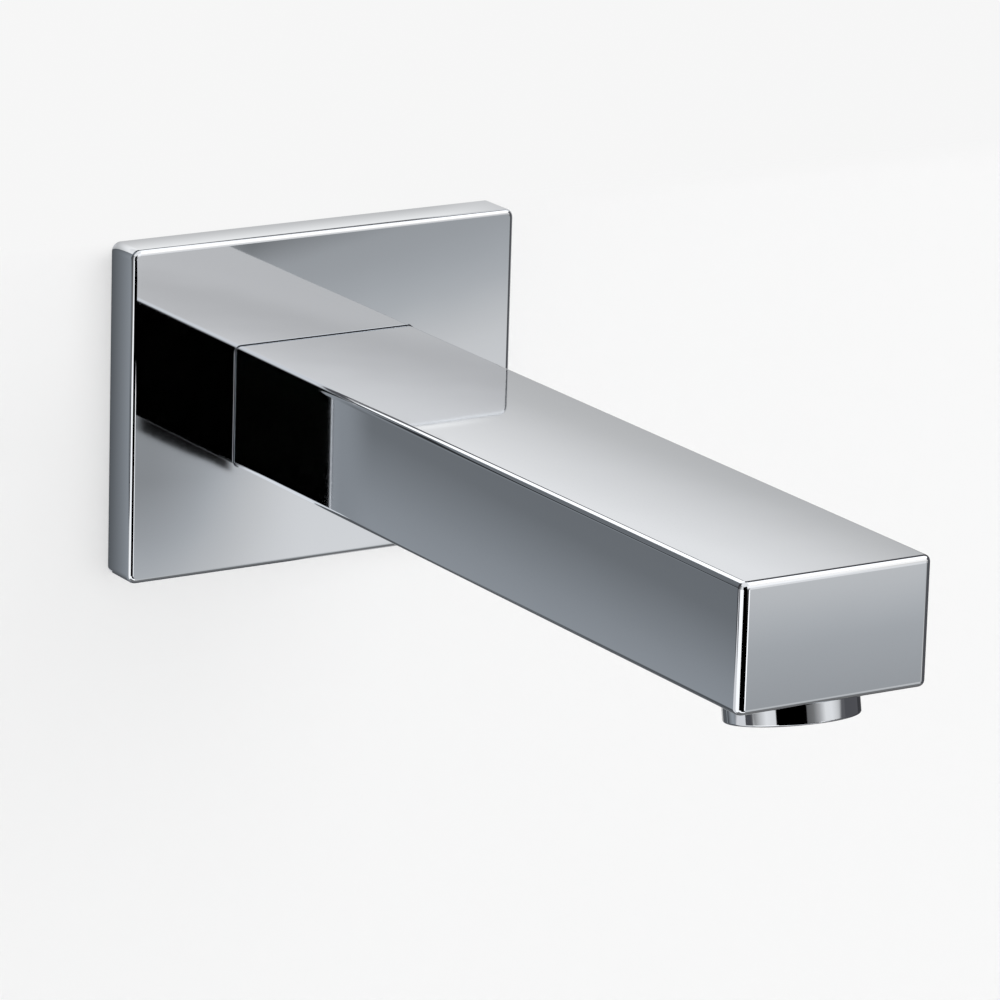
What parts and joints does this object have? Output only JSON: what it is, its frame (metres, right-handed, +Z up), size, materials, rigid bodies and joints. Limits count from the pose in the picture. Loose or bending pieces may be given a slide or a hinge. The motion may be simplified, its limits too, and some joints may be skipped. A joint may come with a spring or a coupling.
{
  "type": "bath spout",
  "caption": "Wall-mounted bath spout: a straight rectangular bar on a rectangular cover plate, with a tilted round outlet and aerator, fed through a threaded wall nipple.",
  "frame": {"origin": "on the axis of the wall thread, in the plane of the finished wall", "axes": "+Y into the wall along the thread, the spout reaches out along -Y, +X to the right seen from the room, +Z up"},
  "size_m": [0.09, 0.214, 0.07],
  "materials": {
    "chrome": "polished",
    "brass": "turned",
    "rubber": "matte",
    "foam": "matte",
    "steel": "satin",
    "cartridge": "satin"
  },
  "bodies": {
    "root": {"spout_body": "chrome", "wall_plate": "chrome", "outlet_nozzle": "chrome", "wall_nipple": "brass", "nipple_o_ring_rear": "rubber", "nipple_o_ring_front": "rubber", "plate_seal": "rubber", "wall_gasket": "foam", "grub_screw": "steel", "aerator_body": "cartridge", "aerator_grid": "cartridge", "aerator_jet_disc": "cartridge", "aerator_strainer": "cartridge", "aerator_washer": "rubber"}
  },
  "joints": []
}
